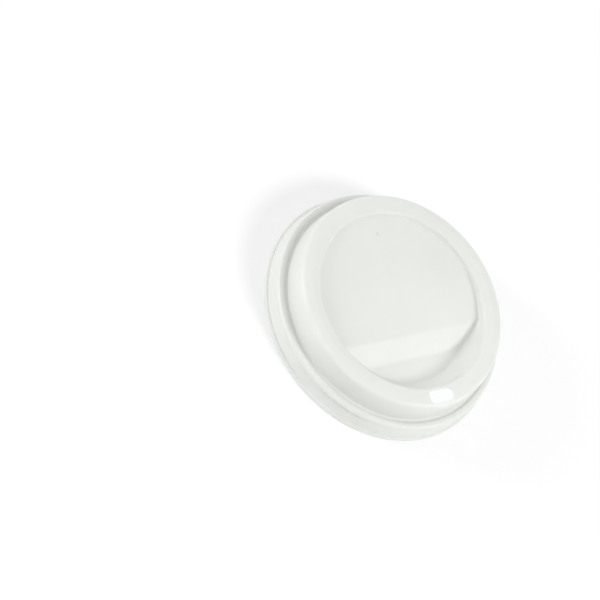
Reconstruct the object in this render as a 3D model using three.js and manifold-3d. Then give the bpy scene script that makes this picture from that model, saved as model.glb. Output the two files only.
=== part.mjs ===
// Sip-through lid for a takeaway coffee cup, thermoformed from one sheet of white polystyrene.
// Millimetres, +Z up. The origin is the centre of the rim's resting plane: the sip hole lies
// towards -Y and the vent towards +Y.

import * as THREE from 'three';
import { mergeVertices, toCreasedNormals } from 'three/addons/utils/BufferGeometryUtils.js';
import Module from 'manifold-3d';

// The formed sheet
const wall = 0.45;

// Lip at the open edge, and the skirt that flares down to it
const rimDiameter = 93;
const lipHeight = 1.5;
const lipWidth = 0.9;
const lipLean = 0.15;
const skirtHeight = 3.7;
const skirtFlare = 1.3;

// Snap bead that closes over the cup's rolled rim, and the seal groove inside it
const beadBulge = 0.8;
const beadHeight = 3.0;
const beadWidth = 2.3;
const grooveDepth = 1.4;
const grooveWidth = 1.6;

// Dome wall and the ring that the drinker's lip meets
const domeHeight = 10.6;
const domeDraft = 4;
const ringWidth = 7.1;
const ringCrown = 0.5;

// Recess inside the ring: a panel that falls towards the sip side, a slope, then a flat trough.
// Its wall is steep down to the slope's top, and leans in much more from there to the trough.
const recessDraft = 8;
const troughDraft = 44;
const panelBackDepth = 0.6;
const panelFall = 2.5;
const slopeLength = 8.4;
const slopeFall = 4.5;
const troughLength = 8.3;

// Openings
const sipLength = 10.5;
const sipWidth = 4.8;
const sipCorner = 2;
const sipInset = 1;
const ventDiameter = 1.2;
const ventInset = 7.5;

// Radii of the formed corners
const lipRound = 0.6;
const skirtRound = 0.8;
const beadRound = 1;
const grooveRound = 0.6;
const shoulderRound = 1.6;
const crownRound = 8;
const ringEdgeRound = 1.1;
const creaseRound = 3;

// Facets: sides round the axis, the most that a side may lie inside its arc, the most degrees
// between two facets that look smooth, and how far a cutting shape runs past the face that it cuts
const turnSides = 60;
const arcSag = 0.08;
const smoothAngle = 45;
const cutSpare = 1;

const plastic = new THREE.MeshStandardMaterial({ color: 0xf1f3ee, roughness: 0.42, metalness: 0 });

// Radii and heights of the section, from the open edge upwards and inwards
const rimRadius = rimDiameter / 2;
const skirtFootRadius = rimRadius - lipLean - lipWidth;
const biteRadius = skirtFootRadius - skirtFlare;
const biteHeight = lipHeight + skirtHeight;
const beadRadius = biteRadius + beadBulge;
const beadTop = biteHeight + beadHeight;
const beadInnerRadius = beadRadius - beadWidth;
const grooveBottom = beadTop - grooveDepth;
const grooveInnerRadius = beadInnerRadius - grooveWidth;
const ringHeight = grooveBottom + domeHeight;
const ringOuterRadius = grooveInnerRadius - run(domeHeight, domeDraft);
const ringInnerRadius = ringOuterRadius - ringWidth;
const ringMiddleRadius = (ringOuterRadius + ringInnerRadius) / 2;

// Depths and places in the recess
const breakDepth = panelBackDepth + panelFall;
const troughDepth = breakDepth + slopeFall;
const wellDepth = troughDepth + cutSpare;
const breakRadius = ringInnerRadius - run(breakDepth, recessDraft);
const troughFront = -(breakRadius - run(slopeFall, troughDraft));
const creaseY = troughFront + troughLength;
const breakY = creaseY + slopeLength;

/** Sideways run of a wall that leans by a number of degrees over a height. */
function run(height, degrees) {
  return height * Math.tan(THREE.MathUtils.degToRad(degrees));
}

/** Points through corners [a, b, radius]. A corner with a radius becomes an arc that touches its
 *  two sides, and takes at most 0.45 of the shorter one. A closed outline has every corner round. */
function roundedLine(corners) {
  const places = corners.map(([a, b]) => new THREE.Vector2(a, b));
  const count = places.length;
  return corners.flatMap(([, , radius = 0], i) => {
    const corner = places[i];
    if (radius === 0) return [corner];
    const back = places[(i + count - 1) % count].clone().sub(corner);
    const ahead = places[(i + 1) % count].clone().sub(corner);
    const reachLimit = 0.45 * Math.min(back.length(), ahead.length());
    back.normalize();
    ahead.normalize();
    const half = Math.acos(back.dot(ahead)) / 2;
    const reach = Math.min(radius / Math.tan(half), reachLimit);
    const rounded = reach * Math.tan(half);
    const centre = back.clone().add(ahead).normalize();
    centre.multiplyScalar(rounded / Math.sin(half)).add(corner);
    const turn = Math.sign(ahead.cross(back)) * (Math.PI - 2 * half);
    const start = back.multiplyScalar(reach).add(corner).sub(centre);
    const steps = Math.ceil(Math.abs(turn) / (2 * Math.acos(1 - arcSag / Math.max(radius, 2 * arcSag))));
    return Array.from({ length: steps + 1 }, (_, k) =>
      start.clone().rotateAround(new THREE.Vector2(), (turn * k) / steps).add(centre));
  });
}

/** The line moved to its left by a distance, which keeps an even thickness between the two. */
function offsetLine(points, distance) {
  const normals = points.slice(1).map((point, i) => {
    const along = point.clone().sub(points[i]).normalize();
    return new THREE.Vector2(-along.y, along.x);
  });
  return points.map((point, i) => {
    const before = normals[Math.max(i - 1, 0)];
    const after = normals[Math.min(i, normals.length - 1)];
    const move = before.clone().add(after).multiplyScalar(distance / (1 + before.dot(after)));
    return move.add(point);
  });
}

/** Solid of revolution about Z from a line of (radius, height) that starts and ends on the axis. */
function turned(points) {
  const geometry = new THREE.LatheGeometry(points, turnSides);
  return geometry.rotateX(Math.PI / 2);
}

/** Prism along X, centred on it, from an outline of (y, z). */
function extrudedAcross(points, width) {
  const shape = new THREE.Shape(points);
  const geometry = new THREE.ExtrudeGeometry(shape, { depth: width, bevelEnabled: false });
  geometry.translate(0, 0, -width / 2);
  const across = new THREE.Matrix4().makeBasis(
    new THREE.Vector3(0, 1, 0), new THREE.Vector3(0, 0, 1), new THREE.Vector3(1, 0, 0));
  return geometry.applyMatrix4(across);
}

const wasm = await Module();
wasm.setup();

/** Closed solid for joining and cutting: shared corners merged, and slivers on the axis left out. */
function solid(geometry) {
  const bare = geometry.clone();
  bare.deleteAttribute('normal');
  bare.deleteAttribute('uv');
  const merged = mergeVertices(bare);
  const corners = merged.index.array;
  const triangles = [];
  for (let i = 0; i < corners.length; i += 3) {
    const [a, b, c] = [corners[i], corners[i + 1], corners[i + 2]];
    if (a !== b && b !== c && c !== a) triangles.push(a, b, c);
  }
  return new wasm.Manifold(new wasm.Mesh({
    numProp: 3,
    vertProperties: new Float32Array(merged.attributes.position.array),
    triVerts: new Uint32Array(triangles),
  }));
}

/** Outer face of the lid, from the open edge to the well inside the ring. */
function lidSection() {
  return roundedLine([
    [rimRadius, 0],
    [rimRadius - lipLean, lipHeight, lipRound],
    [skirtFootRadius, lipHeight, lipRound / 2],
    [biteRadius, biteHeight, skirtRound],
    [beadRadius, biteHeight + beadHeight / 2, skirtRound],
    [beadRadius - beadBulge / 2, beadTop, beadRound],
    [beadInnerRadius, beadTop, beadRound],
    [beadInnerRadius - grooveRound / 2, grooveBottom, grooveRound],
    [grooveInnerRadius, grooveBottom, grooveRound],
    [ringOuterRadius, ringHeight, shoulderRound],
    [ringMiddleRadius, ringHeight + ringCrown, crownRound],
    [ringInnerRadius, ringHeight, ringEdgeRound],
    [breakRadius, ringHeight - breakDepth, creaseRound],
    [breakRadius - run(wellDepth - breakDepth, troughDraft), ringHeight - wellDepth],
    [0, ringHeight - wellDepth],
  ]);
}

/** Floor of the recess, from the sip side to the vent side, as (y, z). */
function recessFloor() {
  const reach = ringMiddleRadius;
  const panelSlope = panelFall / (ringInnerRadius - breakY);
  const backHeight = ringHeight - panelBackDepth + panelSlope * (reach - ringInnerRadius);
  return roundedLine([
    [-reach, ringHeight - troughDepth],
    [creaseY, ringHeight - troughDepth, creaseRound],
    [breakY, ringHeight - breakDepth, creaseRound],
    [reach, backHeight],
  ]);
}

/** Everything below a floor line, inside the ring: the floor fills the well up to that line. */
function filledBelow(floor, base) {
  const first = floor[0];
  const last = floor[floor.length - 1];
  const outline = [new THREE.Vector2(first.x, base), ...floor, new THREE.Vector2(last.x, base)];
  const radius = (ringInnerRadius + ringMiddleRadius) / 2;
  const top = ringHeight;
  const disc = turned([
    new THREE.Vector2(0, base - cutSpare), new THREE.Vector2(radius, base - cutSpare),
    new THREE.Vector2(radius, top), new THREE.Vector2(0, top)]);
  return solid(extrudedAcross(outline.reverse(), 2 * ringMiddleRadius)).intersect(solid(disc));
}

/** Solid under one face of the sheet: its turned section with the recess floor filled in. */
function bodyUnder(section, floor, base) {
  const closed = [new THREE.Vector2(0, base), new THREE.Vector2(section[0].x, base), ...section];
  const wellBottom = section[section.length - 1].y;
  return solid(turned(closed)).add(filledBelow(floor, wellBottom - cutSpare));
}

/** Rounded slot through the top of the ring. */
function sipCut() {
  const [x, y] = [sipLength / 2, sipWidth / 2];
  const inner = -(ringInnerRadius + sipInset);
  const outline = roundedLine([
    [x, -y, sipCorner], [x, y, sipCorner], [-x, y, sipCorner], [-x, -y, sipCorner]]);
  const depth = 2 * cutSpare + ringCrown + wall;
  const slot = new THREE.ExtrudeGeometry(new THREE.Shape(outline), { depth, bevelEnabled: false });
  return solid(slot.translate(0, inner - y, ringHeight - wall - cutSpare));
}

/** Round pin hole through the panel, near its middle line. */
function ventCut() {
  const radius = ventDiameter / 2;
  const hole = new THREE.CylinderGeometry(radius, radius, breakDepth + 2 * cutSpare, 12);
  hole.rotateX(Math.PI / 2);
  return solid(hole.translate(0, ringInnerRadius - ventInset, ringHeight - breakDepth / 2));
}

/** The whole lid: the body under the outer face, less the body under the inner face. */
function lidShell() {
  const section = lidSection();
  const floor = recessFloor();
  const innerSection = offsetLine(section, wall);
  const innerFloor = offsetLine(floor, -wall);
  const outer = bodyUnder(section, floor, 0);
  const inner = bodyUnder(innerSection, innerFloor, -cutSpare);
  return outer.subtract(inner).subtract(sipCut()).subtract(ventCut());
}

const shell = lidShell().getMesh();
const geometry = new THREE.BufferGeometry();
geometry.setAttribute('position', new THREE.BufferAttribute(shell.vertProperties, shell.numProp));
geometry.setIndex(new THREE.BufferAttribute(shell.triVerts, 1));

const smooth = toCreasedNormals(geometry, THREE.MathUtils.degToRad(smoothAngle));
const lid = new THREE.Mesh(smooth, plastic);
lid.name = 'lid';

const part = new THREE.Group();
part.add(lid);

export default part;
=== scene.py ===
"""Sip-through lid for a takeaway coffee cup, formed from one thin sheet of white polystyrene.

Everything is in metres, in the frame's own axes: +Z up, the sip hole towards -Y and the vent
towards +Y.
"""

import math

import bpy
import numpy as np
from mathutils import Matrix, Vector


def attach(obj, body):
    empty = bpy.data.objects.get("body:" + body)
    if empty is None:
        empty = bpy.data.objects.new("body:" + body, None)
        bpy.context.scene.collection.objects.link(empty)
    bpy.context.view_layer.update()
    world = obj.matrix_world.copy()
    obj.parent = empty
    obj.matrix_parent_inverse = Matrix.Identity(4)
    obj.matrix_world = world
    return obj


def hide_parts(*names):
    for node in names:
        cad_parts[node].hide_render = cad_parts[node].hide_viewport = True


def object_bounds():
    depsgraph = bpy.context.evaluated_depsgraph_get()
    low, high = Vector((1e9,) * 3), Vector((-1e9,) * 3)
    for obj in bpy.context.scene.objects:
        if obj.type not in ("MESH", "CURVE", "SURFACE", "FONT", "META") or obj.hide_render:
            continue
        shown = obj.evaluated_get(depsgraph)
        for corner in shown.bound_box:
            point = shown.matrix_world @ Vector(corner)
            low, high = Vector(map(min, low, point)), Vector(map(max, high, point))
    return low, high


bl_info = {
    "name": "Coffee Cup Lid",
    "version": (1, 0, 0),
    "blender": (4, 5, 0),
    "location": "3D View > Sidebar > Cup Lid",
    "description": "Builds a thermoformed sip lid and a plain stage to view it on",
    "category": "Add Mesh",
}

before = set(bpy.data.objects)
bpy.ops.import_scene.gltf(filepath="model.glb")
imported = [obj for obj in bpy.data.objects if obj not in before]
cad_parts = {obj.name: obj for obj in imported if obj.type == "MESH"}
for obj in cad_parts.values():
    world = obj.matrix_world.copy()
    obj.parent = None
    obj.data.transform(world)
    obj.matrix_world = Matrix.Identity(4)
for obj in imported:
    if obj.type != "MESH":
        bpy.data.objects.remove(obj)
CAD_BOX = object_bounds()
NODE = "lid"
BODY = "root"
SLOT = "white_polystyrene"

# Camera: side of the picture, place of the lid's origin in it and focal length, all in pixels, the
# sensor's width in millimetres, and how many times nearer and farther than the lid it still sees
PICTURE_SIDE = 600
LID_IN_PICTURE = (379.65, 318.01)
FOCAL_PIXELS = 2387
SENSOR_WIDTH = 36
SIGHT_RATIO = 20

# Grid of the lid's surface: steps round the axis, in each rounded corner, along each straight
# stretch from the open edge to the ring's inner lip, down the recess wall and across its floor,
# then the passes that settle the wall's foot, and the loops from the grid to a hole's edge
TURN_STEPS = 308
CORNER_STEPS = 5
STRETCH_STEPS = (1, 2, 1, 3, 2, 1, 1, 2, 1, 8, 3, 8)
WALL_STEPS = 30
FLOOR_STEPS = 40
FOOT_PASSES = 4
HOLE_LOOPS = 6

# Steepest angle of the recess wall, the least angle that shows as a sharp edge, and the most of a
# straight side that one rounded corner takes
WALL_ANGLE = math.radians(82)
SHARP_ANGLE = math.radians(40)
CORNER_SHARE = 0.45

# Grid that is left open round each hole past its edge, how often the search for the edge halves its
# range, the step that slopes are measured over, and the least length that is divided by
SIP_MARGIN = 0.0009
VENT_MARGIN = 0.0011
HALVINGS = 40
SLOPE_STEP = 1e-5
TINY = 1e-9

# Sheet: scale and detail of each noise, the range of a noise that counts, the darkest cloud, what
# the haze adds to the roughness, how fast the streaks change with height against their change with
# angle, the strength and height of the unevenness, and the index of refraction
CLOUD_NOISE = (55, 3)
HAZE_NOISE = (210, 4)
STREAK_NOISE = (14, 2)
SWELL_NOISE = (90, 1)
NOISE_RANGE = (0.3, 0.7)
DARKEST_CLOUD = 0.985
HAZE_RANGE = (-0.05, 0.06)
STREAK_PER_METRE = 30
BUMP_STRENGTH = 0.25
BUMP_HEIGHT = 0.0002
SHEET_IOR = 1.55

# Numbers of the Mix node's sockets when it mixes colours
MIX_FACTOR = 0
MIX_FIRST = 6
MIX_SECOND = 7
MIX_RESULT = 2

# Light: share of plain white in what the camera sees of the open floor; painted light on the floor
# behind the sip hole, a patch whose higher white share takes away the lid's shade there, with its
# middle, radius and soft edge; and each lamp's diameter and place
WHITE_SHARE = 0.45
PAINTED_LIGHT_SHARE = 0.97
PAINTED_LIGHT_MIDDLE = (0, -0.016, 0)
PAINTED_LIGHT_RADIUS = 0.029
PAINTED_LIGHT_EDGE = 0.003
HIGH_SIZE = 0.5
HIGH_PLACE = (0.669, -1.158, 1.204)
LOW_SIZE = 0.6
LOW_PLACE = (-1.338, 1.123, 0.436)


def length_property(label, text, metres):
    """A length that the sidebar shows in the scene's units."""
    return bpy.props.FloatProperty(
        name=label, description=text, default=metres, min=0, unit="LENGTH", precision=5
    )


def share_property(label, text, share):
    """A share from 0 to 1 that the sidebar shows as a slider."""
    return bpy.props.FloatProperty(
        name=label, description=text, default=share, min=0, max=1, subtype="FACTOR"
    )


def angle_property(label, text, degrees):
    """An angle, given here in degrees and kept in radians."""
    return bpy.props.FloatProperty(
        name=label, description=text, default=math.radians(degrees), subtype="ANGLE"
    )


def power_property(label, text, watts):
    """The power of a lamp."""
    return bpy.props.FloatProperty(
        name=label, description=text, default=watts, min=0, unit="POWER"
    )


def colour_property(label, text, colour):
    """A colour that the sidebar shows as a swatch."""
    return bpy.props.FloatVectorProperty(
        name=label, description=text, default=colour, size=4, min=0, max=1, subtype="COLOR"
    )


class LidSizes(bpy.types.PropertyGroup):
    """Sizes of the formed sheet, in metres."""

    rim_diameter: length_property(
        "Rim diameter", "Across the lip at the open edge", CAD_BOX[1].x - CAD_BOX[0].x
    )
    sheet: length_property("Sheet", "Thickness of the formed sheet", 0.00045)
    edge_turn: length_property("Edge turn", "How far the trimmed edge turns in", 0.0004)
    edge_rise: length_property("Edge rise", "How far up the trimmed edge turns in", 0.0004)
    lip_height: length_property("Lip height", "Height of the upright lip", 0.0015)
    lip_width: length_property("Lip width", "How far the lip stands out past the skirt", 0.0009)
    lip_lean: length_property("Lip lean", "How far the lip leans in over its height", 0.00015)
    skirt_height: length_property("Skirt height", "From the lip up to the bite", 0.0037)
    skirt_flare: length_property("Skirt flare", "How far the skirt leans out", 0.0013)
    bead_bulge: length_property("Bead bulge", "How far the snap bead stands past the bite", 0.0008)
    bead_height: length_property("Bead height", "From the bite to the top of the bead", 0.003)
    bead_width: length_property("Bead width", "Across the snap bead", 0.0023)
    groove_depth: length_property("Groove depth", "From the bead's top to the groove", 0.0008)
    groove_width: length_property("Groove width", "Across the seal groove", 0.0016)
    dome_height: length_property("Dome height", "From the groove up to the ring", 0.01)
    dome_lean: length_property("Dome lean", "How far the dome wall leans in", 0.000741)
    ring_width: length_property("Ring width", "Across the drinking ring", 0.0071)
    ring_crown: length_property("Ring crown", "How far the ring's middle stands up", 0.00039)
    panel_back_depth: length_property("Panel depth", "Depth of the panel at the vent side", 0.0006)
    panel_fall: length_property("Panel fall", "How far the panel falls to the break", 0.0025)
    slope_length: length_property("Slope length", "Between the two straight creases", 0.0084)
    slope_fall: length_property("Slope fall", "How far the slope falls", 0.0045)
    trough_length: length_property("Trough length", "From the crease to the front", 0.0083)
    recess_taper: length_property("Recess taper", "Lean of the wall down to the break", 0.000436)
    trough_taper: length_property("Trough taper", "Lean of the wall down to the trough", 0.004781)
    sip_length: length_property("Sip hole length", "Along the ring", 0.0105)
    sip_width: length_property("Sip hole width", "Across the ring", 0.0048)
    sip_corner: length_property("Sip hole corner", "Radius of the hole's corners", 0.002)
    sip_inset: length_property("Sip hole inset", "From the ring's inner edge", 0.001)
    vent_diameter: length_property("Vent diameter", "Across the pin hole", 0.0012)
    vent_inset: length_property("Vent inset", "From the ring's inner edge", 0.0075)
    lip_round: length_property("Lip round", "Radius at the top of the lip", 0.0006)
    skirt_round: length_property("Skirt round", "Radius at the bite", 0.0008)
    bead_round: length_property("Bead round", "Radius over the bead", 0.001)
    groove_round: length_property("Groove round", "Radius in the groove", 0.0009)
    shoulder_round: length_property("Shoulder round", "Radius at the ring's outer edge", 0.0016)
    crown_round: length_property("Crown round", "Radius at the ring's middle", 0.008)
    ring_edge_round: length_property("Ring edge round", "Radius at the inner edge", 0.0011)
    foot_round: length_property("Foot round", "Radius where wall and floor meet", 0.0005)
    crease_round: length_property("Crease round", "Half the width of a rounded crease", 0.0008)


class LidFinish(bpy.types.PropertyGroup):
    """Colour and gloss of the sheet."""

    colour: colour_property("Colour", "White of the sheet", (0.905, 0.917, 0.893, 1))
    roughness: share_property("Roughness", "Spread of the sheen", 0.34)
    glow: share_property("Glow", "Share of the light that passes through the sheet", 0.45)


class StageLook(bpy.types.PropertyGroup):
    """Floor, lamps and camera."""

    distance: length_property("Camera distance", "From the lens to the lid's origin", 0.850)
    azimuth: angle_property("Azimuth", "Where the camera stands, round the lid", -159.8)
    elevation: angle_property("Elevation", "How high the camera stands over the floor", 51.48)
    roll: angle_property("Roll", "Turn of the camera about its line of sight", 52.94)
    floor_side: length_property("Floor side", "Side of the square floor", 6.0)
    floor_colour: colour_property("Floor colour", "White of the floor", (0.94, 0.94, 0.94, 1))
    sky: bpy.props.FloatProperty(
        name="Sky", description="Strength of the even light", default=0.70, min=0
    )
    high_power: power_property("High lamp", "Power of the lamp on the sip side", 14.5)
    low_power: power_property("Low lamp", "Power of the lamp that grazes the lid", 15.0)


def corner_arcs(corners, radii, steps):
    """Arc at each inner corner of lines, as (..., corner, step, 2).

    With half the angle between a corner's two sides, the arc touches each side at the reach
    radius / tan(half) from the corner, or at CORNER_SHARE of the shorter side where that is less.
    Its centre lies reach / cos(half) along the sum of the unit vectors back and ahead, and it
    turns by pi - 2 half."""
    corner = corners[..., 1:-1, :]
    back = corners[..., :-2, :] - corner
    ahead = corners[..., 2:, :] - corner
    shorter = np.minimum(np.linalg.norm(back, axis=-1), np.linalg.norm(ahead, axis=-1))
    back /= np.linalg.norm(back, axis=-1, keepdims=True)
    ahead /= np.linalg.norm(ahead, axis=-1, keepdims=True)
    half = np.arccos(np.clip((back * ahead).sum(-1), -1, 1)) / 2
    reach = np.minimum(radii / np.tan(half), CORNER_SHARE * shorter)
    middle = back + ahead
    middle /= np.linalg.norm(middle, axis=-1, keepdims=True)
    centre = corner + middle * (reach / np.cos(half))[..., None]
    start = corner + back * reach[..., None] - centre
    side = np.sign(ahead[..., 0] * back[..., 1] - ahead[..., 1] * back[..., 0])
    turn = (side * (math.pi - 2 * half))[..., None] * np.linspace(0, 1, steps + 1)
    x = start[..., 0, None] * np.cos(turn) - start[..., 1, None] * np.sin(turn)
    y = start[..., 0, None] * np.sin(turn) + start[..., 1, None] * np.cos(turn)
    return centre[..., None, :] + np.stack([x, y], -1)


def rounded_section(corners, radii, stretches):
    """Points along a line with rounded corners, with each straight stretch cut into equal steps.

    A stretch's points are start + t (end - start), for t in equal steps from 0 to 1."""
    arcs = corner_arcs(corners, radii, CORNER_STEPS)
    starts = [corners[0], *arcs[:, -1]]
    ends = [*arcs[:, 0], corners[-1]]
    runs = []
    for index, count in enumerate(stretches):
        t = np.linspace(0, 1, count + 1)[:, None]
        runs.append(starts[index] + t * (ends[index] - starts[index]))
        if index < len(arcs):
            runs.append(arcs[index][1:-1])
    return np.concatenate(runs)


def ramp(t, half_width):
    """0 below zero and t above it, joined by the parabola (t + w)^2 / 4w from -w to w."""
    bend = (t + half_width) ** 2 / (4 * half_width)
    return np.where(t < -half_width, 0, np.where(t > half_width, t, bend))


class LidForm:
    """The lid's outer face as height and radius, worked out from its sizes."""

    def __init__(self, sizes):
        self.sizes = sizes
        self.rim = sizes.rim_diameter / 2
        self.skirt_foot = self.rim - sizes.lip_lean - sizes.lip_width
        self.bite = self.skirt_foot - sizes.skirt_flare
        self.bite_z = sizes.lip_height + sizes.skirt_height
        self.bead = self.bite + sizes.bead_bulge
        self.bead_z = self.bite_z + sizes.bead_height
        self.bead_inner = self.bead - sizes.bead_width
        self.groove_z = self.bead_z - sizes.groove_depth
        self.groove_inner = self.bead_inner - sizes.groove_width
        self.ring_z = self.groove_z + sizes.dome_height
        self.ring_outer = self.groove_inner - sizes.dome_lean
        self.ring_inner = self.ring_outer - sizes.ring_width
        self.ring_middle = (self.ring_outer + self.ring_inner) / 2
        self.trough_depth = sizes.panel_back_depth + sizes.panel_fall + sizes.slope_fall
        self.crease_y = sizes.trough_length - (self.ring_inner - sizes.trough_taper)
        self.break_y = self.crease_y + sizes.slope_length
        self.crown_slope = math.atan2(sizes.ring_crown, self.ring_middle - self.ring_inner)

    def outside(self):
        """Section from the open edge up over the bead, groove and dome, and across the ring. Each
        corner is given as (radius from the axis, height, radius of its round)."""
        sizes = self.sizes
        corners = np.array([
            (self.rim - sizes.edge_turn, 0, 0),
            (self.rim, sizes.edge_rise, sizes.edge_rise),
            (self.rim - sizes.lip_lean, sizes.lip_height, sizes.lip_round),
            (self.skirt_foot, sizes.lip_height, sizes.lip_round / 2),
            (self.bite, self.bite_z, sizes.skirt_round),
            (self.bead, self.bite_z + sizes.bead_height / 2, sizes.skirt_round),
            (self.bead - sizes.bead_bulge / 2, self.bead_z, sizes.bead_round),
            (self.bead_inner, self.bead_z, sizes.bead_round),
            (self.bead_inner - sizes.groove_round / 2, self.groove_z, sizes.groove_round),
            (self.groove_inner, self.groove_z, sizes.groove_round),
            (self.ring_outer, self.ring_z, sizes.shoulder_round),
            (self.ring_middle, self.ring_z + sizes.ring_crown, sizes.crown_round),
            (*self.lip_start(), 0),
        ])
        return rounded_section(corners[:, :2], corners[1:-1, 2], STRETCH_STEPS)

    def lip_start(self):
        """Where the ring's crown begins to turn down into the recess."""
        reach = self.sizes.ring_edge_round * math.tan((WALL_ANGLE - self.crown_slope) / 2)
        return np.array([
            self.ring_inner + reach * math.cos(self.crown_slope),
            self.ring_z + reach * math.sin(self.crown_slope),
        ])

    def floor(self, y):
        """Height of the recess floor: level in the trough, then the slope, then the panel.

        It is trough + slope * ramp(y - crease) + (panel - slope) * ramp(y - break), where slope and
        panel are their rise for each metre of y."""
        sizes = self.sizes
        slope = sizes.slope_fall / sizes.slope_length
        panel = sizes.panel_fall / (self.ring_inner - self.break_y)
        low = self.ring_z - self.trough_depth
        rise = slope * ramp(y - self.crease_y, sizes.crease_round)
        return low + rise + (panel - slope) * ramp(y - self.break_y, sizes.crease_round)

    def wall_run(self, depth):
        """How far the recess wall has leaned in at a depth, and its angle from level there.

        It is steep * depth + (wide - steep) * ramp(depth - break), where steep and wide are how far
        the wall leans in for each metre of depth, above and below the break."""
        sizes = self.sizes
        steep = 1 / math.tan(WALL_ANGLE)
        wide = (sizes.trough_taper - sizes.recess_taper) / sizes.slope_fall
        past = depth - sizes.panel_back_depth - sizes.panel_fall
        reached = np.clip((past + sizes.crease_round) / (2 * sizes.crease_round), 0, 1)
        lean = steep + (wide - steep) * reached
        return steep * depth + (wide - steep) * ramp(past, sizes.crease_round), np.arctan(1 / lean)

    def wall_fit(self, turn):
        """Angles a and b, the depths where the wall's own curve begins and ends, the distance that
        it leans in between them and the floor's height at its foot, each for every turn.

        The wall falls from the ring by a convex arc, its own curve and a concave arc. The convex
        arc turns from the crown's slope c to a and the concave one from b back to zero. With radii
        p and q they fall p (cos c - cos a) and q (1 - cos b). Where the recess is too shallow for a
        steep wall, a = b = arccos((p cos c + q - depth) / (p + q))."""
        sizes = self.sizes
        top = self.lip_start()
        p, q, c = sizes.ring_edge_round, sizes.foot_round, self.crown_slope
        foot = np.full(len(turn), self.ring_inner - sizes.recess_taper)
        b = np.full(len(turn), WALL_ANGLE)
        for _ in range(FOOT_PASSES):
            level = self.floor(foot * np.sin(turn))
            depth = top[1] - level
            shallow = np.arccos(np.clip((p * math.cos(c) + q - depth) / (p + q), -1, 1))
            a = np.minimum(shallow, WALL_ANGLE)
            begin = p * (math.cos(c) - np.cos(a))
            end = np.maximum(depth - q * (1 - np.cos(b)), begin)
            b = np.minimum(a, self.wall_run(end)[1])
            across = self.wall_run(end)[0] - self.wall_run(begin)[0]
            foot = top[0] - p * (np.sin(a) - math.sin(c)) - across - q * np.sin(b)
        return a, b, begin, end, across, level

    def recess(self, turn):
        """Radius and height down the recess wall and across the floor, one row for each turn.

        Equal steps t of the wall's whole length are spent on the convex arc, the slant and the
        concave arc in turn. The concave arc's height is eased by n n (3 - 2 n) onto the floor under
        it, where n is the share of that arc that is gone."""
        sizes = self.sizes
        top = self.lip_start()
        p, q, c = sizes.ring_edge_round, sizes.foot_round, self.crown_slope
        a, b, begin, end, across, level = (values[:, None] for values in self.wall_fit(turn))
        slant = np.hypot(end - begin, across)
        lengths = p * (a - c), slant, q * b
        t = np.linspace(0, 1, WALL_STEPS + 1)
        gone = t * sum(lengths)
        bent = c + np.clip(gone, 0, lengths[0]) / p
        share = np.clip(gone - lengths[0], 0, slant) / np.maximum(slant, TINY)
        deep = begin + (end - begin) * share
        turned = np.clip(gone - lengths[0] - slant, 0, None) / q
        wall_r = top[0] - p * (np.sin(bent) - math.sin(c))
        wall_r -= self.wall_run(deep)[0] - self.wall_run(begin)[0]
        wall_r -= q * (np.sin(b) - np.sin(b - turned))
        wall_z = top[1] - p * (math.cos(c) - np.cos(bent))
        wall_z -= deep - begin + q * (np.cos(b - turned) - np.cos(b))
        sine = np.sin(turn)[:, None]
        near = turned / b
        wall_z += near * near * (3 - 2 * near) * (self.floor(wall_r * sine) - level)
        floor_r = wall_r[:, -1:] * (1 - np.linspace(0, 1, FLOOR_STEPS + 1)[1:-1])
        radius = np.concatenate([wall_r, floor_r], 1)
        height = np.concatenate([wall_z, self.floor(floor_r * sine)], 1)
        return radius, height


def outer_grid(form, turn):
    """Points of the outer face, as (section step, turn step, 3), from the open edge inwards.

    A point is (radius cos turn, radius sin turn, height)."""
    outside = form.outside()
    recess_r, recess_z = form.recess(turn)
    radius = np.concatenate([np.repeat(outside[:-1, :1], len(turn), 1), recess_r.T])
    height = np.concatenate([np.repeat(outside[:-1, 1:], len(turn), 1), recess_z.T])
    return np.stack([radius * np.cos(turn), radius * np.sin(turn), height], -1)


def grid_normals(grid):
    """Unit normals of a grid that closes round its second axis: the cross product of the central
    differences along its two parameters."""
    along = np.gradient(grid, axis=0)
    round_axis = np.roll(grid, -1, 1) - np.roll(grid, 1, 1)
    normal = np.cross(round_axis, along)
    return normal / np.linalg.norm(normal, axis=-1, keepdims=True)


def band_faces(loops):
    """Quads between loops of vertex indices, each of which closes on itself."""
    ahead = np.roll(loops, -1, 1)
    return np.stack([loops[:-1], ahead[:-1], ahead[1:], loops[1:]], -1).reshape(-1, 4)


def block_border(rows, columns):
    """Grid indices round a block of cells, in order, from its first row and column."""
    (r0, r1), (c0, c1) = rows, columns
    down, across = np.arange(r0, r1), np.arange(c0, c1)
    row = np.concatenate([np.full(c1 - c0, r0), down, np.full(c1 - c0, r1), down[::-1] + 1])
    column = np.concatenate([across, np.full(r1 - r0, c1), across[::-1] + 1, np.full(r1 - r0, c0)])
    return row, column


def slot_reach(angle, length, width, corner):
    """Distance from a rounded slot's centre to its edge, at each angle.

    The edge is where |max(|p| - inner, 0)| = corner on the ray p = d (cos, sin), with inner the
    half sides less the corner radius. Halving the interval of d finds it."""
    inner = np.array([length / 2 - corner, width / 2 - corner])
    ray = np.abs(np.stack([np.cos(angle), np.sin(angle)], -1))
    low, high = np.zeros(len(angle)), np.full(len(angle), length)
    for _ in range(HALVINGS):
        middle = (low + high) / 2
        inside = np.linalg.norm(np.maximum(middle[:, None] * ray - inner, 0), axis=1) < corner
        low, high = np.where(inside, middle, low), np.where(inside, high, middle)
    return low


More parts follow.
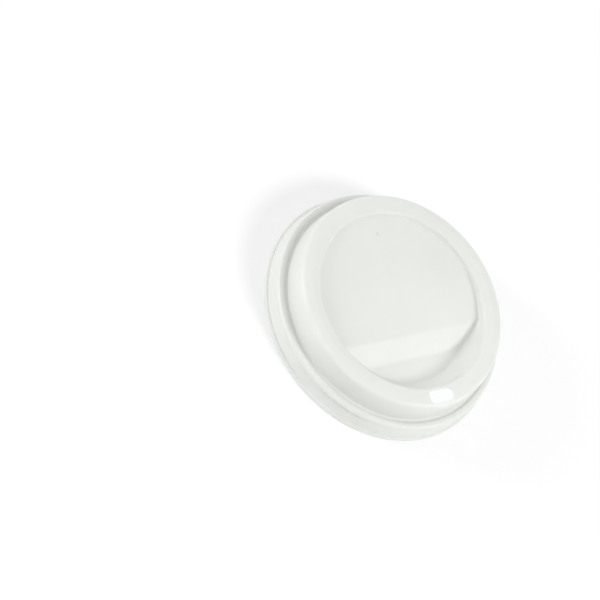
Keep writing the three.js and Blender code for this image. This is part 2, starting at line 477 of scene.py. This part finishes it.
class Hole:
    """A rounded slot through the sheet, in a block of the grid that is left open for it."""

    def __init__(self, centre_y, length, width, corner, margin, height):
        self.centre = np.array([0, centre_y])
        self.size = (length, width, corner)
        self.margin = margin
        self.height = height

    def block(self, grid, first_row):
        """Rows and columns of the grid that the hole and its margin cover."""
        quarters = 3 if self.centre[1] < 0 else 1
        column = quarters * TURN_STEPS // 4
        length, width, _ = self.size
        away = np.abs(np.abs(grid[:, column, 1]) - abs(self.centre[1]))
        near = np.flatnonzero((away < width / 2 + self.margin) & (np.arange(len(grid)) > first_row))
        half_turn = math.asin((length / 2 + self.margin) / abs(self.centre[1]))
        steps = math.ceil(half_turn * TURN_STEPS / (2 * math.pi))
        return (int(near[0]), int(near[-1])), (column - steps, column + steps)

    def plan(self, border):
        """Loops in plan from the block's border to the hole's edge: border + t (edge - border)."""
        away = border - self.centre
        angle = np.arctan2(away[:, 1], away[:, 0])
        reach = slot_reach(angle, *self.size)[:, None]
        edge = self.centre + reach * np.stack([np.cos(angle), np.sin(angle)], -1)
        t = np.linspace(0, 1, HOLE_LOOPS + 1)[1:, None, None]
        return border + t * (edge - border)

    def faces_of(self, plan, sheet):
        """Points of the outer and inner face over the plan. The inner face lies one sheet behind
        along the normal (-dz/dx, -dz/dy, 1), from differences of the height."""
        step = SLOPE_STEP
        dx = self.height(plan + (step, 0)) - self.height(plan - (step, 0))
        dy = self.height(plan + (0, step)) - self.height(plan - (0, step))
        normal = np.stack([-dx / (2 * step), -dy / (2 * step), np.ones(dx.shape)], -1)
        normal /= np.linalg.norm(normal, axis=-1, keepdims=True)
        outer = np.concatenate([plan, self.height(plan)[..., None]], -1)
        return outer, outer - sheet * normal


def lid_holes(form, grid):
    """The sip hole in the ring's crown and the vent in the panel, with the height over each."""
    sizes = form.sizes
    section = grid[:, 0]
    high = section[:, 2] > form.ring_z - sizes.ring_crown
    crown = section[high & (section[:, 0] > form.ring_inner)]
    crown = crown[np.argsort(crown[:, 0])]

    def over_ring(plan):
        return np.interp(np.hypot(plan[..., 0], plan[..., 1]), crown[:, 0], crown[:, 2])

    def over_panel(plan):
        return form.floor(plan[..., 1])

    sip_y = -(form.ring_inner + sizes.sip_inset + sizes.sip_width / 2)
    vent_y = form.ring_inner - sizes.vent_inset
    vent = sizes.vent_diameter
    return (
        Hole(sip_y, sizes.sip_length, sizes.sip_width, sizes.sip_corner, SIP_MARGIN, over_ring),
        Hole(vent_y, vent, vent, vent / 2, VENT_MARGIN, over_panel),
    )


def hole_bands(hole, corners, border, inner_start, count, sheet):
    """Points and faces from a block's border to the hole's edge on both faces of the sheet, and the
    hole's wall between them. The new points are numbered from count, the outer face's first."""
    over, under = hole.faces_of(hole.plan(corners[:, :2]), sheet)
    upper = count + np.arange(over.size // 3).reshape(over.shape[:2])
    lower = upper + upper.size
    upper = np.vstack([border, upper])
    lower = np.vstack([border + inner_start, lower])
    wall = np.stack([upper[-1], lower[-1]])
    faces = [band_faces(upper), band_faces(lower)[:, ::-1], band_faces(wall)]
    return [over.reshape(-1, 3), under.reshape(-1, 3)], faces


def centre_fans(loop, inner_start, count):
    """Triangles from the innermost loop of each face to that face's centre, which are the points
    count and count + 1."""
    after = np.roll(loop, -1)
    outer = np.stack([loop, after, np.full(len(loop), count)], 1)
    inner = np.stack([after + inner_start, loop + inner_start, np.full(len(loop), count + 1)], 1)
    return np.concatenate([outer, inner])


def lid_surface(form):
    """Points, quads and triangles of the whole sheet: the outer face, the inner face one sheet
    behind it along the normals, the trimmed edge between them, and the walls of the two holes."""
    sizes = form.sizes
    turn = np.arange(TURN_STEPS) * (2 * math.pi / TURN_STEPS)
    outer = outer_grid(form, turn)
    inner = outer - sizes.sheet * grid_normals(outer)
    inner[0, :, 2] = 0  # the sheet is trimmed level, at the floor
    index = np.arange(outer.size // 3).reshape(outer.shape[:2])
    inner_start = index.size
    count = 2 * index.size
    points = [outer.reshape(-1, 3), inner.reshape(-1, 3)]
    faces = [band_faces(np.stack([index[0] + inner_start, index[0]]))]
    kept = np.ones((len(outer) - 1, TURN_STEPS), bool)
    ring_row = int(np.argmax(outer[:, 0, 2] > form.ring_z - sizes.ring_crown))
    for hole in lid_holes(form, outer):
        rows, columns = hole.block(outer, ring_row)
        kept[rows[0]:rows[1], columns[0]:columns[1]] = False
        border = block_border(rows, columns)
        hole_points, hole_faces = hole_bands(
            hole, outer[border], index[border], inner_start, count, sizes.sheet)
        points += hole_points
        faces += hole_faces
        count += sum(len(some) for some in hole_points)
    here = np.argwhere(kept)
    ahead = np.stack([here[:, 0], (here[:, 1] + 1) % TURN_STEPS], 1)
    up = (1, 0)
    quads = np.stack([index[tuple(p.T)] for p in (here, ahead, ahead + up, here + up)], 1)
    faces += [quads, quads[:, ::-1] + inner_start]
    centre_z = float(form.floor(np.zeros(1))[0])
    points.append(np.array([(0, 0, centre_z), (0, 0, centre_z - sizes.sheet)]))
    return np.concatenate(points), np.concatenate(faces), centre_fans(index[-1], inner_start, count)


def mesh_object(name, points, quads, triangles):
    """Mesh object at the origin from arrays of points, quads and triangles."""
    mesh = bpy.data.meshes.new(name)
    mesh.vertices.add(len(points))
    mesh.vertices.foreach_set("co", points.astype(np.float32).ravel())
    corners = np.concatenate([quads.ravel(), triangles.ravel()]).astype(np.int32)
    sides = np.concatenate([np.full(len(quads), 4), np.full(len(triangles), 3)])
    mesh.loops.add(len(corners))
    mesh.loops.foreach_set("vertex_index", corners)
    mesh.polygons.add(len(sides))
    mesh.polygons.foreach_set("loop_start", (np.cumsum(sides) - sides).astype(np.int32))
    mesh.update(calc_edges=True)
    mesh.validate()
    mesh.shade_smooth()
    mesh.set_sharp_from_angle(angle=SHARP_ANGLE)
    made = bpy.data.objects.new(name, mesh)
    bpy.context.scene.collection.objects.link(made)
    return made


class NodeBench:
    """Short calls that add nodes to the tree of a material or a world, and link them."""

    def __init__(self, owner):
        self.owner = owner
        owner.use_nodes = True
        self.tree = owner.node_tree
        self.tree.nodes.clear()

    def add(self, kind, inputs=None, **settings):
        """A node with its settings, and its inputs given as values or as other nodes' sockets."""
        node = self.tree.nodes.new(kind)
        for key, value in settings.items():
            setattr(node, key, value)
        for key, value in (inputs or {}).items():
            if isinstance(value, bpy.types.NodeSocket):
                self.tree.links.new(value, node.inputs[key])
            else:
                node.inputs[key].default_value = value
        return node

    def calculate(self, operation, *values):
        """Result of a Math node, whose values are numbers or other nodes' sockets."""
        return self.add("ShaderNodeMath", dict(enumerate(values)), operation=operation).outputs[0]

    def noise(self, place, scale, detail):
        """Noise at a place, whose values lie mostly within NOISE_RANGE."""
        inputs = {"Vector": place, "Scale": scale, "Detail": detail}
        return self.add("ShaderNodeTexNoise", inputs).outputs["Fac"]

    def spread(self, value, source, target):
        """A value moved from one range to another, and kept within it."""
        return self.add("ShaderNodeMapRange", {
            "Value": value,
            "From Min": source[0],
            "From Max": source[1],
            "To Min": target[0],
            "To Max": target[1],
        }).outputs["Result"]

    def mix(self, share, first, second):
        """One shader at a share of 0, and the other at a share of 1."""
        return self.add("ShaderNodeMixShader", {0: share, 1: first, 2: second}).outputs[0]

    def seen(self):
        """1 for a camera, glossy or transmitted ray, and 0 for a ray that only carries light."""
        ray = self.add("ShaderNodeLightPath").outputs
        either = self.calculate("MAXIMUM", ray["Is Camera Ray"], ray["Is Glossy Ray"])
        return self.calculate("MAXIMUM", either, ray["Is Transmission Ray"])


def streak_place(bench, place):
    """A place as (cos angle, sin angle, STREAK_PER_METRE z). Noise read there makes streaks that
    run out from the axis over the level faces, and a fine unevenness on the walls."""
    parts = bench.add("ShaderNodeSeparateXYZ", {"Vector": place}).outputs
    angle = bench.calculate("ARCTAN2", parts["Y"], parts["X"])
    return bench.add("ShaderNodeCombineXYZ", {
        "X": bench.calculate("COSINE", angle),
        "Y": bench.calculate("SINE", angle),
        "Z": bench.calculate("MULTIPLY", parts["Z"], STREAK_PER_METRE),
    }).outputs[0]


def sheet_material(finish):
    """White polystyrene sheet: a soft sheen with a haze, faint clouds in its white, streaks that
    run out from the axis as the sheet was drawn, and a shallow swell where it left the mould."""
    bench = NodeBench(bpy.data.materials.new(SLOT))
    place = bench.add("ShaderNodeTexCoord").outputs["Object"]
    clouds = bench.noise(place, *CLOUD_NOISE)
    haze = bench.noise(place, *HAZE_NOISE)
    streaks = bench.noise(streak_place(bench, place), *STREAK_NOISE)
    swell = bench.noise(place, *SWELL_NOISE)
    tone = bench.spread(clouds, NOISE_RANGE, (DARKEST_CLOUD, 1))
    white = bench.add("ShaderNodeMix", {
        MIX_FACTOR: tone,
        MIX_FIRST: (0, 0, 0, 1),
        MIX_SECOND: tuple(finish.colour),
    }, data_type="RGBA").outputs[MIX_RESULT]
    least, most = (finish.roughness + change for change in HAZE_RANGE)
    roughness = bench.spread(haze, NOISE_RANGE, (least, most))
    normal = bench.add("ShaderNodeBump", {
        "Height": bench.calculate("ADD", streaks, swell),
        "Strength": BUMP_STRENGTH,
        "Distance": BUMP_HEIGHT,
    }).outputs["Normal"]
    solid = bench.add("ShaderNodeBsdfPrincipled", {
        "Base Color": white,
        "Roughness": roughness,
        "Normal": normal,
        "IOR": SHEET_IOR,
    })
    through = bench.add("ShaderNodeBsdfTranslucent", {"Color": white, "Normal": normal})
    surface = bench.mix(finish.glow, solid.outputs[0], through.outputs[0])
    bench.add("ShaderNodeOutputMaterial", {"Surface": surface})
    return bench.owner


def floor_material(look):
    """Pale floor that keeps the lid's shadow on the open floor. What the camera, glossy and
    transmitted rays see of it is drawn towards white, so that the bare floor reads as white. Behind
    the sip hole a round patch is drawn almost wholly white: painted light that takes away the shade
    under the lid there."""
    bench = NodeBench(bpy.data.materials.new("studio_floor"))
    place = bench.add("ShaderNodeTexCoord").outputs["Object"]
    # Painted light: a round patch behind the sip hole gets a far higher white share, which takes
    # away the lid's shade on the floor there
    away = bench.add("ShaderNodeVectorMath", {0: place, 1: PAINTED_LIGHT_MIDDLE}, operation="DISTANCE")
    edge = (PAINTED_LIGHT_RADIUS - PAINTED_LIGHT_EDGE, PAINTED_LIGHT_RADIUS)
    white_and_painted_light_share = bench.spread(away.outputs["Value"], edge, (PAINTED_LIGHT_SHARE, WHITE_SHARE))
    share = bench.calculate("MULTIPLY", bench.seen(), white_and_painted_light_share)
    matte = bench.add("ShaderNodeBsdfDiffuse", {"Color": tuple(look.floor_colour)})
    white = bench.add("ShaderNodeEmission", {"Strength": 1})
    surface = bench.mix(share, matte.outputs[0], white.outputs[0])
    bench.add("ShaderNodeOutputMaterial", {"Surface": surface})
    return bench.owner


def make_floor(look):
    """Square floor at the height that the lid rests on."""
    half = look.floor_side / 2
    points = np.array([(-half, -half, 0), (half, -half, 0), (half, half, 0), (-half, half, 0)])
    floor = mesh_object("studio_floor", points, np.array([[0, 1, 2, 3]]), np.empty((0, 3), int))
    floor.data.materials.append(floor_material(look))


def make_sky(look):
    """Even white light from all round, which is plain white where it is seen."""
    bench = NodeBench(bpy.data.worlds.new("even_sky"))
    strength = bench.spread(bench.seen(), (0, 1), (look.sky, 1))
    sky = bench.add("ShaderNodeBackground", {"Color": (1, 1, 1, 1), "Strength": strength})
    bench.add("ShaderNodeOutputWorld", {"Surface": sky.outputs[0]})
    bpy.context.scene.world = bench.owner


def make_lamp(name, power, size, place):
    """Soft round lamp that faces the lid's origin."""
    lamp = bpy.data.lights.new(name, "AREA")
    lamp.shape = "DISK"
    lamp.size = size
    lamp.energy = power
    softbox = bpy.data.objects.new(name, lamp)
    place = Vector(place)
    softbox.location = place
    softbox.rotation_euler = place.to_track_quat("Z", "Y").to_euler()
    bpy.context.scene.collection.objects.link(softbox)


def make_camera(look):
    """Camera on its line of sight to the lid's origin, rolled, and then turned a little so that
    the origin falls at its place in the picture."""
    flat = math.cos(look.elevation)
    back = Vector((
        flat * math.cos(look.azimuth), flat * math.sin(look.azimuth), math.sin(look.elevation)))
    upright = back.to_track_quat("Z", "Y").to_matrix()
    rolled = upright @ Matrix.Rotation(look.roll, 3, "Z")
    across, down = (place - PICTURE_SIDE / 2 for place in LID_IN_PICTURE)
    towards_lid = Vector((across, -down, -FOCAL_PIXELS))
    aim = towards_lid.rotation_difference(Vector((0, 0, -1))).to_matrix()
    data = bpy.data.cameras.new("photo_camera")
    data.sensor_width = SENSOR_WIDTH
    data.lens = FOCAL_PIXELS / PICTURE_SIDE * SENSOR_WIDTH
    data.clip_start = look.distance / SIGHT_RATIO
    data.clip_end = look.distance * SIGHT_RATIO
    camera = bpy.data.objects.new("photo_camera", data)
    camera.matrix_world = (rolled @ aim).to_4x4()
    camera.location = back * look.distance
    bpy.context.scene.collection.objects.link(camera)
    bpy.context.scene.camera = camera


class CUPLID_OT_make_lid(bpy.types.Operator):
    """Builds the formed sheet with its ring, recess, sip hole and vent"""

    bl_idname = "cuplid.make_lid"
    bl_label = "Make lid"

    def execute(self, context):
        scene = context.scene
        form = LidForm(scene.cup_lid_sizes)
        lid = mesh_object("formed_lid", *lid_surface(form))
        lid.data.materials.append(sheet_material(scene.cup_lid_finish))
        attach(lid, BODY)
        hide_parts(NODE)
        return {"FINISHED"}


class CUPLID_OT_make_stage(bpy.types.Operator):
    """Adds the pale floor, the soft light and the camera"""

    bl_idname = "cuplid.make_stage"
    bl_label = "Make stage"

    def execute(self, context):
        look = context.scene.cup_lid_stage
        make_floor(look)
        make_sky(look)
        make_lamp("high_softbox", look.high_power, HIGH_SIZE, HIGH_PLACE)
        make_lamp("low_softbox", look.low_power, LOW_SIZE, LOW_PLACE)
        make_camera(look)
        context.scene.view_settings.view_transform = "Standard"
        return {"FINISHED"}


class CUPLID_PT_panel(bpy.types.Panel):
    """Lists the steps, and the sizes and colours that they use"""

    bl_idname = "CUPLID_PT_panel"
    bl_label = "Cup Lid"
    bl_space_type = "VIEW_3D"
    bl_region_type = "UI"
    bl_category = "Cup Lid"

    def draw(self, context):
        for step in STEPS:
            self.layout.operator(step.bl_idname)
        for _, name in SETTINGS:
            box = self.layout.box()
            group = getattr(context.scene, name)
            for setting in group.__annotations__:
                box.prop(group, setting)


SETTINGS = (
    (LidSizes, "cup_lid_sizes"),
    (LidFinish, "cup_lid_finish"),
    (StageLook, "cup_lid_stage"),
)
STEPS = (CUPLID_OT_make_lid, CUPLID_OT_make_stage)


def register():
    """Registers the classes, and gives the scene the sizes and colours."""
    for group, name in SETTINGS:
        bpy.utils.register_class(group)
        setattr(bpy.types.Scene, name, bpy.props.PointerProperty(type=group))
    for item in (*STEPS, CUPLID_PT_panel):
        bpy.utils.register_class(item)


def unregister():
    """Takes back what register did, in the other order."""
    for item in (CUPLID_PT_panel, *STEPS[::-1]):
        bpy.utils.unregister_class(item)
    for group, name in SETTINGS[::-1]:
        delattr(bpy.types.Scene, name)
        bpy.utils.unregister_class(group)


def main():
    register()
    bpy.ops.cuplid.make_lid()
    bpy.ops.cuplid.make_stage()


if __name__ == "__main__":
    main()
